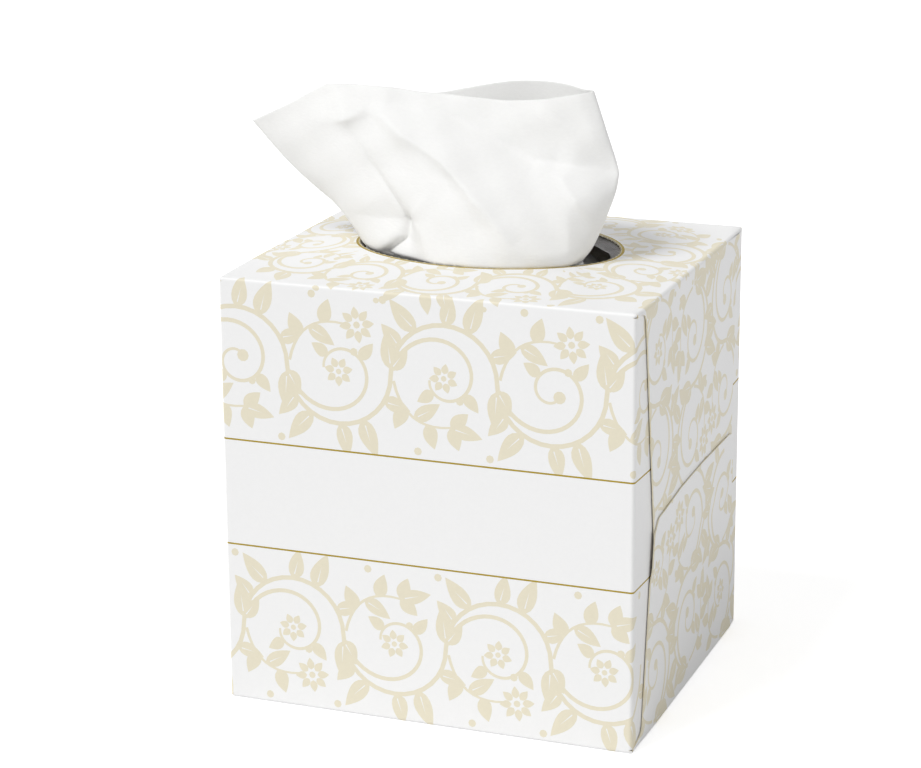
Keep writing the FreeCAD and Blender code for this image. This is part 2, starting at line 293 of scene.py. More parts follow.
def swell(x, y):
    """How far the top panel stands up round its hole."""
    along = max(0.0, 1 - abs(x / OUTER_FOLD) ** 2.5)
    across = max(0.0, 1 - abs(y / (HALF_DEPTH - FOLD)) ** 2.5)
    return SWELL * (along * across) ** 1.5


def round_tube(v):
    """Point on the tube's outside, y and z, and the way into the box from there, as its y and z."""
    low, high = -(HALF_DEPTH - FOLD), HEIGHT - FOLD
    if v > TOP[1]:
        along, inward = round_fold(v - TOP[1])
        turn = min((v - TOP[1]) / FOLD, math.pi / 2)
        return HALF_DEPTH - FOLD + along, HEIGHT - inward, -math.sin(turn), -math.cos(turn)
    if v >= TOP[0]:
        return low + v - TOP[0], HEIGHT, 0.0, -1.0
    if v > FRONT[1]:
        along, inward = round_fold(v - FRONT[1])
        turn = (v - FRONT[1]) / FOLD
        return -HALF_DEPTH + inward, high + along, math.cos(turn), -math.sin(turn)
    if v >= FRONT[0]:
        return -HALF_DEPTH, FOLD + v, 1.0, 0.0
    if v > BOTTOM[1]:
        along, inward = round_fold(-v)
        turn = -v / FOLD
        return -HALF_DEPTH + inward, FOLD - along, math.cos(turn), math.sin(turn)
    if v >= BOTTOM[0]:
        return low + BOTTOM[1] - v, 0.0, 0.0, 1.0
    along, inward = round_fold(BOTTOM[0] - v)
    turn = min((BOTTOM[0] - v) / FOLD, math.pi / 2)
    return HALF_DEPTH - FOLD - LAP_TUCK + along, inward, -math.sin(turn), math.cos(turn)


def place(u, v):
    """Point of the folded carton, in millimetres, for a point of the blank."""
    y, z, way_y, way_z = round_tube(v)
    side = math.copysign(1, u)
    clear = CORNER_SHARE + (1 - CORNER_SHARE) * float(smoothstep(HALF_DEPTH - FOLD - abs(y), 0, CORNER_FADE))
    start = DUST_FOLD + (OUTER_FOLD - DUST_FOLD) * abs(way_z) * clear
    past = abs(u) - start
    if past <= 0:
        lift = swell(u, y) if TOP[0] < v < TOP[1] else 0.0
        return np.array((u, y, z + lift))
    along, deep = round_fold(past)
    x = start + along
    if way_z == 1:
        x += CAD_BOARD * float(smoothstep(deep, STEP[0], STEP[1]))
    if way_z == 0:
        x -= DUST_LEAN * max(0.0, deep - FOLD)
    return np.array((side * x, y + way_y * deep, z + way_z * deep))


def facing(u, v):
    """Outward normal of the folded carton at a point of the blank."""
    step = 0.02
    along = place(u + step, v) - place(u - step, v)
    up = place(u, v + step) - place(u, v - step)
    normal = np.cross(along, up)
    return normal / (np.linalg.norm(normal) or 1)


# Outline of the blank

def lower_flap():
    """Right edge of the lower flap from its far side to its near side, as (u, v)."""
    points = [
        (HALF_DEPTH - FOLD - LAP_TUCK - SLIT, FOLD), (HALF_DEPTH - RELIEF[0], FOLD + RELIEF[1]),
        (HALF_DEPTH - RELIEF[0] - FAR_TAPER, LOWER_REACH - 3.5),
        (HALF_DEPTH - RELIEF[0] - FAR_TAPER - 1.2, LOWER_REACH - 0.8),
        (HALF_DEPTH - RELIEF[0] - FAR_TAPER - 4, LOWER_REACH - 0.2),
        (10.0, LOWER_REACH), (-HALF_DEPTH + 42, LOWER_REACH - 0.6), (-HALF_DEPTH + 25, LOWER_REACH - 2.2),
        (-HALF_DEPTH + 20.6, LOWER_REACH - 2.5), (-HALF_DEPTH + 19.2, LOWER_REACH - 3.4),
        (-HALF_DEPTH + RELIEF[0] + NEAR_TAPER, LOWER_REACH - 6),
        (-HALF_DEPTH + RELIEF[0] + 0.4, FOLD + RELIEF[1] + 1.5),
        (-HALF_DEPTH + RELIEF[0] - 0.6, FOLD + RELIEF[1]), (-HALF_DEPTH + FOLD + SLIT, FOLD)]
    return [(OUTER_FOLD + ARC + z - FOLD, BOTTOM[1] - (y + HALF_DEPTH - FOLD)) for y, z in points]


def upper_flap():
    """Right edge of the upper flap from its near side to its far side."""
    high = HEIGHT - FOLD
    slope = (high - RELIEF[1] - UPPER_END) / (high - RELIEF[1] - LOWER_REACH)
    near, far = RELIEF[0] + NEAR_TAPER * slope, RELIEF[0] + FAR_TAPER * slope
    points = [
        (-HALF_DEPTH + FOLD + SLIT, high), (-HALF_DEPTH + 4.2, high - 0.1), (-HALF_DEPTH + 6.4, high - 0.9),
        (-HALF_DEPTH + 7.6, high - 2.2), (-HALF_DEPTH + RELIEF[0] + 0.1, high - RELIEF[1] - 1.2),
        (-HALF_DEPTH + near, UPPER_END), (HALF_DEPTH - far, UPPER_END),
        (HALF_DEPTH - RELIEF[0], high - RELIEF[1]), (HALF_DEPTH - FOLD - SLIT, high)]
    return [(OUTER_FOLD + ARC + high - z, TOP[0] + y + HALF_DEPTH - FOLD) for y, z in points]


def dust_flap(low, high):
    """Right edge of a dust flap that hangs on the panel between two v values."""
    end = DUST_FOLD + ARC + DUST_REACH - FOLD
    root = DUST_FOLD + ARC / 2
    back = DUST_FOLD - 0.2
    return [(back, low + 0.1), (root, low + 0.3), (end - 14, low + 1.0), (end, low + 8),
            (end, high - 8), (end - 14, high - 1.0), (root, high - 0.3), (back, high - 0.1)]


def blank_outline():
    root = OUTER_FOLD - 0.4
    right = [(LAP_END, LAP[0]), (LAP_END + 2, LAP[0] + 3), (CORNER, BOTTOM[0]), (root, BOTTOM[0] + 0.1)]
    right += lower_flap()
    right += [(root, BOTTOM[1] - 0.1), (CORNER, BOTTOM[1]), (CORNER, FRONT[0])]
    right += dust_flap(*FRONT)
    right += [(CORNER, FRONT[1]), (CORNER, TOP[0]), (root, TOP[0] + 0.1)]
    right += upper_flap()
    right += [(root, TOP[1] - 0.1), (CORNER, TOP[1]), (CORNER, BACK[0])]
    right += dust_flap(BACK[0], BACK[1] - FOLD)
    right += [(CORNER, BACK[1] - FOLD), (CORNER, BACK[1])]
    return right + [(-u, v) for u, v in right[::-1]]


def rim_point(grow, angle):
    """Point of the blank on the hole's oval, moved outwards."""
    return (HOLE[0] + grow) * math.cos(angle), TOP_MIDDLE + (HOLE[1] + grow) * math.sin(angle)


def oval(grow, steps=240):
    return [rim_point(grow, TAU * k / steps) for k in range(steps)]


def torn_hole():
    """Rim of the hole, with the nibs that the torn perforation left."""
    nib = ((0.0, 0.0), (0.36, 0.0), (0.44, NIB_REACH), (0.56, NIB_REACH * 0.9), (0.64, 0.0))
    return [rim_point(-reach, TAU * (k + share) / NIBS) for k in range(NIBS) for share, reach in nib]


# Print: shapes of a running vine scroll, drawn in its own band coordinates

def ribbon(path, widths):
    """Outline of a stroke along a path, its width changing evenly from one end to the other."""
    left, right = [], []
    last = len(path) - 1
    for index, (x, y) in enumerate(path):
        x0, y0 = path[max(index - 1, 0)]
        x1, y1 = path[min(index + 1, last)]
        length = math.hypot(x1 - x0, y1 - y0) or 1
        half = (widths[0] + (widths[1] - widths[0]) * index / last) / 2
        left.append((x - (y1 - y0) / length * half, y + (x1 - x0) / length * half))
        right.append((x + (y1 - y0) / length * half, y - (x1 - x0) / length * half))
    return left + right[::-1]


def disc(centre, radius, steps=12):
    return [(centre[0] + radius * math.cos(TAU * k / steps), centre[1] + radius * math.sin(TAU * k / steps))
            for k in range(steps)]


def turned(points, at, angle):
    cos, sin = math.cos(angle), math.sin(angle)
    return [(at[0] + x * cos - y * sin, at[1] + x * sin + y * cos) for x, y in points]


def leaf(at, angle, length, width, bend):
    """Pointed leaf that swings to one side, with a bare vein in its lower half."""
    steps = 8
    upper, lower = [], []
    for k in range(steps + 1):
        share = k / steps
        swing = bend * length * share ** 2
        fat = width / 2 * math.sin(math.pi * share ** 0.75) ** 0.9
        upper.append((length * share, swing + fat))
        lower.append((length * share, swing - fat))
    vein = [(0.16 * length, 0.1), (0.62 * length, bend * length * 0.38), (0.16 * length, -0.25)]
    outline = upper[:-1] + lower[::-1][:-1]
    return turned(outline, at, angle), turned(vein, at, angle)


def scroll_path(centre, side, radius, shrink, turn):
    """Branch that leaves the stem at the left of its bay and winds inwards."""
    steps = int(turn / 0.16)
    path = []
    for k in range(steps + 1):
        phi = 0.1 + (turn - 0.1) * k / steps
        reach = radius * math.exp(-shrink * phi)
        path.append((centre - reach * math.cos(phi), side * reach * math.sin(phi)))
    return path


def rosette(at, radius, petals, angle):
    """Small flower of round petals about an eye."""
    shapes = [disc(at, radius * 0.2, 8)]
    for k in range(petals):
        way = angle + TAU * k / petals
        root = (at[0] + 0.32 * radius * math.cos(way), at[1] + 0.32 * radius * math.sin(way))
        shapes.append(leaf(root, way, 0.7 * radius, 3.6 * radius / petals, 0.0)[0])
    return shapes


def arch_path(start, middle, end, steps=10):
    """Smooth bow from one point to another, pulled towards a third."""
    path = []
    for k in range(steps + 1):
        share = k / steps
        weights = ((1 - share) ** 2, 2 * share * (1 - share), share ** 2)
        path.append(tuple(sum(w * point[axis] for w, point in zip(weights, (start, middle, end)))
                          for axis in range(2)))
    return path


def running_scroll(count, radius, seed, first_side=1):
    """Shapes and bare veins of a wave stem with a scroll in every bay, along s from 0, across n from 0."""
    draw = random.Random(seed)
    shapes, veins = [], []

    def add_leaf(at, angle, length, width, bend):
        outline, vein = leaf(at, angle, length, width, bend)
        shapes.append(outline)
        if length > 7:
            veins.append(vein)

    def add_stem_and_scroll(centre, side, curl):
        stem = [(centre - radius * math.cos(math.pi * j / 16), side * radius * math.sin(math.pi * j / 16))
                for j in range(17)]
        shapes.append(ribbon(stem, (1.3, 1.3)))
        shrink = 0.195 + 0.02 * draw.random()
        path = scroll_path(centre, side, radius * 0.995, shrink, 8.8 if curl else 6.2)
        shapes.append(ribbon(path, (1.3, 0.7)))
        if curl:
            shapes.append(disc(path[-1], 0.115 * radius, 10))
        else:
            shapes.extend(rosette((centre, side * 0.03 * radius), 0.27 * radius, 7, draw.random()))
        for turn, long in ((3.6, 0.4), (5.3, 0.36)):
            at = scroll_path(centre, side, radius * 0.995, shrink, turn)[-1]
            away = math.atan2(at[1], at[0] - centre)
            add_leaf(at, away - 0.7 * side, radius * long, radius * 0.24, 0.2 * side)

    def add_crest(centre, side):
        for phi, swing, long in ((0.55, 0.6, 0.44), (1.05, -0.5, 0.66), (1.57, 0.5, 0.56),
                                 (2.09, -0.45, 0.68), (2.6, 0.55, 0.46)):
            at = (centre - radius * math.cos(phi), side * radius * math.sin(phi))
            away = math.atan2(side * math.sin(phi), -math.cos(phi))
            length = radius * (long + 0.08 * draw.random())
            add_leaf(at, away - side * swing, length, radius * (0.17 + 0.27 * long),
                     side * 0.25 * math.copysign(1, swing))

    def add_sprig(start, centre, side, flower):
        """Flower or bud on its own short stem, in the half of the bay that the wave leaves free."""
        head = (centre + 0.12 * radius, -side * 0.86 * radius)
        path = arch_path((start + 0.05 * radius, -side * 0.1 * radius),
                         (start + 0.25 * radius, -side * radius), head)
        shapes.append(ribbon(path, (0.9, 0.6)))
        for index, out, long in ((3, 1, 0.46), (5, -1, 0.58), (7, 1, 0.46)):
            x, y = path[index]
            way = math.atan2(path[index + 1][1] - y, path[index + 1][0] - x)
            add_leaf((x, y), way - side * out * 0.85, radius * long, radius * 0.29, -0.2 * side * out)
        if flower:
            shapes.extend(rosette((head[0] + 0.24 * radius, head[1]), 0.33 * radius, 8, draw.random()))
        else:
            for spread, long in ((-0.85, 0.44), (0.0, 0.62), (0.85, 0.44)):
                add_leaf(head, -0.25 * side + spread, radius * long, radius * 0.28, 0.12 * spread)
        for x, y in ((0.3, -0.36), (0.86, -1.36), (-0.5, -1.36)):
            shapes.append(disc((centre + x * radius, side * y * radius), 0.075 * radius, 8))

    for k in range(count):
        side = first_side * (1 if k % 2 == 0 else -1)
        start = 2 * k * radius
        centre = start + radius
        add_stem_and_scroll(centre, side, draw.random() < 0.55)
        add_crest(centre, side)
        add_sprig(start, centre, side, k % 2 == 1)
        for spread, long in ((-0.6, 0.5), (0.1, 0.72)):
            angle = side * (math.pi / 2 + spread)
            add_leaf((start, side * 0.1 * radius), angle, radius * long, radius * 0.32, 0.16 * spread)
    return shapes, veins


def straight_band(shapes, at, angle):
    return [turned(shape, at, angle) for shape in shapes]


def ring_band(shapes, length):
    """Bends a straight band round the hole, along a rounded rectangle between the rim and the folds."""
    half = ((HOLE[0] + HALF_LENGTH) / 2 + 0.2, (HOLE[1] + HALF_DEPTH) / 2 + 0.2)
    steps = 720
    angles = np.arange(steps + 1) * TAU / steps
    power = 2 / 3.4
    x = half[0] * np.sign(np.cos(angles)) * np.abs(np.cos(angles)) ** power
    y = half[1] * np.sign(np.sin(angles)) * np.abs(np.sin(angles)) ** power
    travelled = np.concatenate(([0], np.cumsum(np.hypot(np.diff(x), np.diff(y)))))
    travelled *= length / travelled[-1]
    window = np.ones(41) / 41
    ways = np.unwrap(np.arctan2(np.gradient(y), np.gradient(x)))
    ways = np.convolve(np.pad(ways, 20, mode="reflect", reflect_type="odd"), window, "valid")

    def bend(point):
        s = point[0] % length
        way = np.interp(s, travelled, ways)
        return (np.interp(s, travelled, x) + point[1] * math.sin(way),
                TOP_MIDDLE + np.interp(s, travelled, y) - point[1] * math.cos(way))
    return [[bend(point) for point in shape] for shape in shapes]


def whole_print():
    """All beige shapes and their bare veins on the blank."""
    shapes, veins = [], []

    def add(band, put):
        shapes.extend(put(band[0]))
        veins.extend(put(band[1]))

    middle = ((BAND[1] + HEIGHT) / 2 - FOLD, BAND[0] / 2 - FOLD)
    for panel, flip in ((FRONT[0], 1), (BACK[1] + BACK_SHORT - FOLD, -1)):
        for row, level in enumerate(middle):
            v = panel + flip * level
            seed = 3 + row + (0 if flip > 0 else 10)
            band = running_scroll(5, SCROLL, seed, 1 if row == 0 else -1)
            start = -4.6 * SCROLL if row == 0 else -5.6 * SCROLL
            at = (flip * start, v)
            add(band, lambda group, at=at, flip=flip: straight_band(group, at, 0 if flip > 0 else math.pi))
    ring = running_scroll(RING_BAYS, RING_SCROLL, 31)
    add(ring, lambda group: ring_band(group, 2 * RING_BAYS * RING_SCROLL))
    ends = ((TOP_MIDDLE, 3, OUTER_FOLD + 1.0, 40), ((BOTTOM[0] + BOTTOM[1]) / 2, 2, OUTER_FOLD + 2.5, 60))
    for end in (1, -1):
        for row in (-1, 0, 1):
            for v, count, start, seed in ends:
                band = running_scroll(count, END_SCROLL, seed + row + 3 * end, 1 if row == 0 else -1)
                at = (end * (start + 4.0 * (row == 0)), v + row * END_ROW)
                angle = 0 if end > 0 else math.pi
                add(band, lambda group, at=at, angle=angle: straight_band(group, at, angle))
    return shapes, veins


def band_regions():
    """Bare bands and gold lines on the front and back, bent down a little on the dust flaps."""
    bare, gold = [], []
    reach = DUST_FOLD + ARC + 20
    for base, way in ((FRONT[0] - FOLD, 1), (BACK[1] + BACK_SHORT, -1)):
        edges = []
        for z in BAND:
            line = []
            for half in (-GOLD_LINE / 2, GOLD_LINE / 2):
                path = [(u, z - LINE_DROP * max(0.0, abs(u) - DUST_FOLD - ARC) + half)
                        for u in (-reach, -DUST_FOLD - ARC, DUST_FOLD + ARC, reach)]
                line.append([(u, base + way * level) for u, level in path])
            gold.append(line[0] + line[1][::-1])
            edges.append(line[0])
        bare.append(edges[0] + edges[1][::-1])
    return bare, gold


# Carton mesh

def signed_area(points):
    """Twice the area of an outline, above 0 where it runs counter-clockwise."""
    return sum(x0 * y1 - x1 * y0 for (x0, y0), (x1, y1) in zip(points, points[1:] + points[:1]))


def counter_clockwise(points):
    return points if signed_area(points) > 0 else points[::-1]


def near_blank(points):
    """True if a print shape can lie on the blank at all."""
    return any(abs(u) < BLANK_REACH and LAP[0] - 2 < v < BACK[1] + 2 for u, v in points)


def fold_lines():
    """Lines across the blank that let the mesh bend at its folds."""
    lines = []
    for start in (BOTTOM[0] - ARC, BOTTOM[1], FRONT[1], TOP[1]):
        for k in range(ARC_STEPS + 1):
            v = start + ARC * k / ARC_STEPS
            lines.append(((-CORNER - 1, v), (CORNER + 1, v)))
        for u in (DUST_FOLD - 0.1, DUST_FOLD + 0.35 * FOLD, DUST_FOLD + 0.75 * FOLD):
            lines += [((side * u, start - 0.1), (side * u, start + ARC + 0.1)) for side in (1, -1)]
    for start, panels in ((OUTER_FOLD, (BOTTOM, TOP)), (DUST_FOLD, (FRONT, BACK))):
        for low, high in panels:
            for k in range(ARC_STEPS + 1):
                u = start + ARC * k / ARC_STEPS
                lines += [((side * u, low - 0.5), (side * u, high + 0.5)) for side in (1, -1)]
    for side in (1, -1):
        for k in range(6):
            u = OUTER_FOLD + ARC + STEP[0] - FOLD + (STEP[1] - STEP[0]) * k / 5
            lines.append(((side * u, BOTTOM[0] - 0.5), (side * u, BOTTOM[1] + 0.5)))
    return lines


def swell_grid(step):
    """Loose points that let the top panel curve."""
    points = []
    for u in np.arange(-OUTER_FOLD + 1, OUTER_FOLD, step):
        for v in np.arange(TOP[0] + 1, TOP[1], step):
            if (u / (HOLE[0] + 1.2)) ** 2 + ((v - TOP_MIDDLE) / (HOLE[1] + 1.2)) ** 2 > 1:
                points.append((float(u), float(v)))
    return points


def triangulate(groups, lines, loose):
    """Triangles of overlapping outlines: points, triangles, and the groups that hold each triangle."""
    points, edges, faces, owner = list(loose), [], [], []
    for name, outlines in groups:
        for outline in outlines:
            first = len(points)
            points += counter_clockwise(outline)
            faces.append(list(range(first, len(points))))
            owner.append(name)
    for start, end in lines:
        points += [start, end]
        edges.append((len(points) - 2, len(points) - 1))
    vectors = [Vector(point) for point in points]
    found, _, triangles, _, _, sources = delaunay_2d_cdt(vectors, edges, faces, 1, 1e-5, True)
    kept = [(tuple(t), {owner[index] for index in source}) for t, source in zip(triangles, sources)]
    return [tuple(point) for point in found], kept


def surface_slot(held):
    if "rim_bare" in held:
        return EDGE_SLOT
    if "rim_gold" in held or "gold" in held:
        return GOLD_SLOT
    if "bare" in held or "vein" in held:
        return WHITE_SLOT
    return BEIGE_SLOT if "ink" in held else WHITE_SLOT


def open_edges(triangles):
    """Edges of the triangles that only one of them has, in its direction."""
    seen = {}
    for triangle in triangles:
        for a, b in zip(triangle, triangle[1:] + triangle[:1]):
            seen[(a, b)] = True
    return [edge for edge in seen if (edge[1], edge[0]) not in seen]


def closed_rings(edges):
    """Rings of points that directed edges make."""
    following = dict(edges)
    rings = []
    while following:
        start, step = following.popitem()
        ring = [start]
        while step != start:
            ring.append(step)
            step = following.pop(step)
        rings.append(ring)
    return rings


def printed_side():
    """Points of the blank's printed side, and its triangles with the groups that hold them."""
    shapes, veins = whole_print()
    bare, gold = band_regions()
    groups = [("board", [blank_outline()]), ("hole", [torn_hole()]), ("rim_bare", [oval(RIM_BARE)]),
              ("rim_gold", [oval(RIM_GOLD)]), ("bare", bare), ("gold", gold),
              ("ink", [shape for shape in shapes if near_blank(shape)]),
              ("vein", [vein for vein in veins if near_blank(vein)])]
    flat, triangles = triangulate(groups, fold_lines(), swell_grid(5.0))
    return flat, [(t, held) for t, held in triangles if "board" in held and "hole" not in held]


def plain_side(flat, rim):
    """Points and triangles of the inner side, which has the printed side's rim and no print."""
    outlines = [[flat[i] for i in ring] for ring in sorted(closed_rings(rim), key=len)]
    outside = max(outlines, key=lambda outline: abs(signed_area(outline)))
    holes = [outline for outline in outlines if outline is not outside]
    groups = [("board", [outside]), ("hole", holes)]
    inner, triangles = triangulate(groups, fold_lines(), swell_grid(8.0))
    return inner, [t for t, held in triangles if "board" in held and "hole" not in held]


def points_behind(rim, flat, inner):
    """For each point of the rim, the one of the inner side that lies behind it."""
    known = {(round(u, 4), round(v, 4)): index for index, (u, v) in enumerate(inner)}
    behind = {}
    for index, _ in rim:
        u, v = flat[index]
        found = known.get((round(u, 4), round(v, 4)))
        if found is None:
            found = min(range(len(inner)), key=lambda k: (inner[k][0] - u) ** 2 + (inner[k][1] - v) ** 2)
        behind[index] = found
    return behind


class Skin:
    """Faces of a mesh, each with its slot and, for its corners, normals and places on the bake sheet."""

    def __init__(self):
        self.faces, self.slots, self.normals, self.places = [], [], [], []

    def add(self, face, slot, normals, places):
        self.faces.append(tuple(face))
        self.slots.append(slot)
        self.normals += normals
        self.places += [(x / BAKE_SHEET, y / BAKE_SHEET) for x, y in places]

    def mesh(self, name, points, materials):
        """Mesh of the faces, with only the points that they use."""
        used = sorted({index for face in self.faces for index in face})
        order = {index: rank for rank, index in enumerate(used)}
        faces = [tuple(order[index] for index in face) for face in self.faces]
        mesh = bpy.data.meshes.new(name)
        mesh.from_pydata([tuple(points[index] * MM) for index in used], [], faces)
        mesh.polygons.foreach_set("material_index", self.slots)
        for material in materials:
            mesh.materials.append(material)
        layer = mesh.uv_layers.new(name="OFBake")
        layer.data.foreach_set("uv", [value for spot in self.places for value in spot])
        mesh.polygons.foreach_set("use_smooth", [True] * len(faces))
        mesh.normals_split_custom_set([tuple(normal) for normal in self.normals])
        mesh.update()
        return mesh


# Bake sheet: the printed side, the inner side beside it, and the cut edges in rows above them
BAKE_SHEET = 4 * BLANK_REACH
EDGE_ROWS = BACK[1] - LAP[0] + 6
ROW_END = BAKE_SHEET - 12


def add_cut_edges(skin, rim, behind, points, first):
    """One face across the board's thickness for each edge of the rim."""
    travelled = 0.0
    for a, b in rim:
        face = (b, a, first + behind[a], first + behind[b])
        corners = [points[index] for index in face]
        across = np.cross(corners[2] - corners[0], corners[3] - corners[1])
        normal = across / (np.linalg.norm(across) or 1)
        length = float(np.linalg.norm(corners[0] - corners[1]))
        row, x = divmod(travelled, ROW_END)
        travelled += length + 0.02
        low = EDGE_ROWS + row
        skin.add(face, EDGE_SLOT, [normal] * 4,
                 [(x + length, low), (x, low), (x, low + BOARD), (x + length, low + BOARD)])


def build_carton():
    """Carton of one folded board: the printed side, the inner side and the cut edges between them."""
    flat, outer = printed_side()
    rim = open_edges([triangle for triangle, _ in outer])
    inner_flat, inner = plain_side(flat, rim)
    first = len(flat)
    normals = [facing(*point) for point in flat]
    inner_normals = [facing(*point) for point in inner_flat]
    points = [place(*point) for point in flat]
    points += [place(*point) - normal * BOARD for point, normal in zip(inner_flat, inner_normals)]
    skin = Skin()
    for triangle, held in outer:
        skin.add(triangle, surface_slot(held), [normals[i] for i in triangle],
                 [(flat[i][0] + BLANK_REACH, flat[i][1] - LAP[0]) for i in triangle])
    for triangle in inner:
        turned_over = triangle[::-1]
        skin.add([first + i for i in turned_over], INSIDE_SLOT, [-inner_normals[i] for i in turned_over],
                 [(3 * BLANK_REACH - inner_flat[i][0], inner_flat[i][1] - LAP[0]) for i in turned_over])
    add_cut_edges(skin, rim, points_behind(rim, flat, inner_flat), points, first)
    mesh = skin.mesh("carton_board", points, board_materials())
    new_object("carton_board", mesh, "carton")


# Curves and grids

def along_curve(points, count):
    """Evenly spaced points on a smooth curve through the given ones."""
    knots = np.asarray(points, float)
    padded = np.vstack((2 * knots[0] - knots[1], knots, 2 * knots[-1] - knots[-2]))
    fine = []
    for k in range(len(knots) - 1):
        a, b, c, d = padded[k:k + 4]
        for share in np.arange(0, 1, 0.05):
            fine.append(0.5 * (2 * b + (c - a) * share + (2 * a - 5 * b + 4 * c - d) * share ** 2
                               + (3 * b - a - 3 * c + d) * share ** 3))
    fine.append(knots[-1])
    fine = np.array(fine)
    travelled = np.concatenate(([0], np.cumsum(np.linalg.norm(np.diff(fine, axis=0), axis=1))))
    wanted = np.linspace(0, travelled[-1], count)
    return np.stack([np.interp(wanted, travelled, fine[:, axis]) for axis in range(3)], axis=1)


def patch(left, right, low, high):
    """Surface between four boundary curves: rows from low to high, columns from left to right."""
    rows, columns = len(left), len(low)
    t = np.linspace(0, 1, rows)[:, None, None]
    w = np.linspace(0, 1, columns)[None, :, None]
    ruled = (1 - t) * low[None] + t * high[None] + (1 - w) * left[:, None] + w * right[:, None]
    bilinear = (1 - w) * (1 - t) * low[0] + w * (1 - t) * low[-1] + (1 - w) * t * high[0] + w * t * high[-1]
    return ruled - bilinear


def grid_mesh(name, grid, material, closed=False):
    rows, columns, _ = grid.shape
    mesh = bpy.data.meshes.new(name)
    faces = []
    for i in range(rows - 1):
        for j in range(columns - 1 + closed):
            k = (j + 1) % columns
            faces.append((i * columns + j, i * columns + k, (i + 1) * columns + k, (i + 1) * columns + j))
    mesh.from_pydata([tuple(p) for p in (grid.reshape(-1, 3) * MM)], [], faces)
    mesh.polygons.foreach_set("use_smooth", [True] * len(faces))
    mesh.materials.append(material)
    mesh.update()
    return mesh


# Tissue that stands out of the slit

RIM_LEVEL = 125.0


def at_rim(*points):
    return tuple((x, y, RIM_LEVEL) for x, y in points)


LEFT_EDGE = ((-36.2, 4.5, RIM_LEVEL), (-45.4, 4.0, 130.3), (-52.4, 2.0, 136.0), (-61.1, -1.0, 144.8),
             (-70.6, -4.0, 156.6))
TOP_EDGE = ((-70.6, -4.0, 156.6), (-58.5, -5.0, 162.5), (-47.9, -6.0, 168.3), (-44.4, -6.0, 169.2),
            (-28.9, -6.0, 169.3), (-18.0, -6.0, 168.3), (-7.3, -6.0, 167.8), (5.0, -6.0, 167.2),
            (16.3, -5.0, 167.9), (26.9, -2.0, 169.6), (31.0, 1.0, 170.3))
RIGHT_FOLD = ((31.6, -12.0, RIM_LEVEL), (34.8, -10.0, 130.0), (38.7, -5.5, 141.5), (39.4, -3.0, 147.0),
              (38.6, -1.5, 150.5), (34.8, 0.0, 160.3), (31.0, 1.0, 170.3))
RIM_FRONT = at_rim((-36.2, 4.5), (-37.2, -3.0), (-34.2, -12.0), (-25.6, -20.6), (-12.6, -26.3),
                   (0.0, -27.8), (12.6, -26.3), (22.4, -22.5), (29.0, -17.8), (31.6, -12.0))
BACK_TOP = ((31.0, 1.0, 170.3), (24.5, 10.0, 168.9), (18.5, 14.0, 169.2), (11.1, 16.0, 169.3),
            (1.5, 16.5, 168.7), (-6.8, 16.5, 167.3), (-14.2, 16.0, 165.7), (-21.7, 15.5, 164.2),
            (-38.0, 13.5, 162.5), (-52.0, 10.0, 156.0))
BACK_LEFT = ((-33.0, 9.0, RIM_LEVEL), (-38.5, 11.0, 132.0), (-44.5, 12.0, 143.0), (-52.0, 10.0, 156.0))
RIM_BACK = at_rim((31.6, -12.0), (29.0, -6.0), (22.0, 1.5), (10.0, 7.0), (-10.0, 9.5), (-26.0, 9.5),
                  (-33.0, 9.0))

# Creases of the front layer, on the plane y = 0 as the camera sees it: points with their rise towards
# the camera, width on the left and on the right of the way, and bluntness
CREASES = (
    (((-40.4, 152.4, -0.5), (-35.3, 144.4, -2.0), (-30.0, 136.8, -3.4), (-26.2, 129.4, -4.2)),
     (3.0, 9.0), 0.9),
    (((-46.6, 157.0, 0.8), (-42.8, 157.7, 2.6), (-38.5, 159.6, 1.4)), (6.0, 2.0), 1.05),
    (((-36.0, 160.5, 1.2), (-31.5, 159.4, 2.6), (-25.4, 155.2, 3.8), (-13.2, 148.4, 4.2),
      (-5.8, 140.6, 3.8), (3.2, 130.3, 2.8), (6.6, 125.8, 1.4)), (12.0, 3.6), 1.2),
    (((-42.7, 164.2, -0.4), (-28.2, 162.9, -1.8), (-13.1, 161.2, -3.4), (-3.4, 156.4, -4.8),
      (4.7, 151.9, -5.2), (11.4, 148.9, -5.0), (19.0, 148.8, -4.4), (29.6, 148.4, -3.4),
      (38.2, 146.6, -2.6)), (15.0, 4.0), 1.0),
    (((6.0, 164.5, 0.6), (18.0, 161.0, 1.2), (33.0, 157.5, 1.2)), (6.5, 6.5), 1.8),
    (((17.0, 146.4, 0.3), (21.4, 144.6, 2.4), (25.6, 139.4, 3.0), (30.4, 133.6, 1.2)), (6.5, 2.4), 1.1),
    (((22.8, 121.0, 1.4), (22.9, 130.0, 1.4), (23.0, 137.5, 0.3)), (8.0, 2.8), 1.4),
    (((-26.2, 129.2, -3.0), (-27.2, 123.9, -4.4), (-32.6, 119.6, -3.2)), (3.4, 1.2), 1.0),
    (((-44.5, 130.6, -0.5), (-35.5, 129.7, -1.6), (-27.0, 129.0, -2.6)), (5.0, 8.0), 1.15),
    (((-25.0, 129.8, 2.0), (-16.3, 140.0, 0.3)), (4.0, 4.0), 1.3),
)


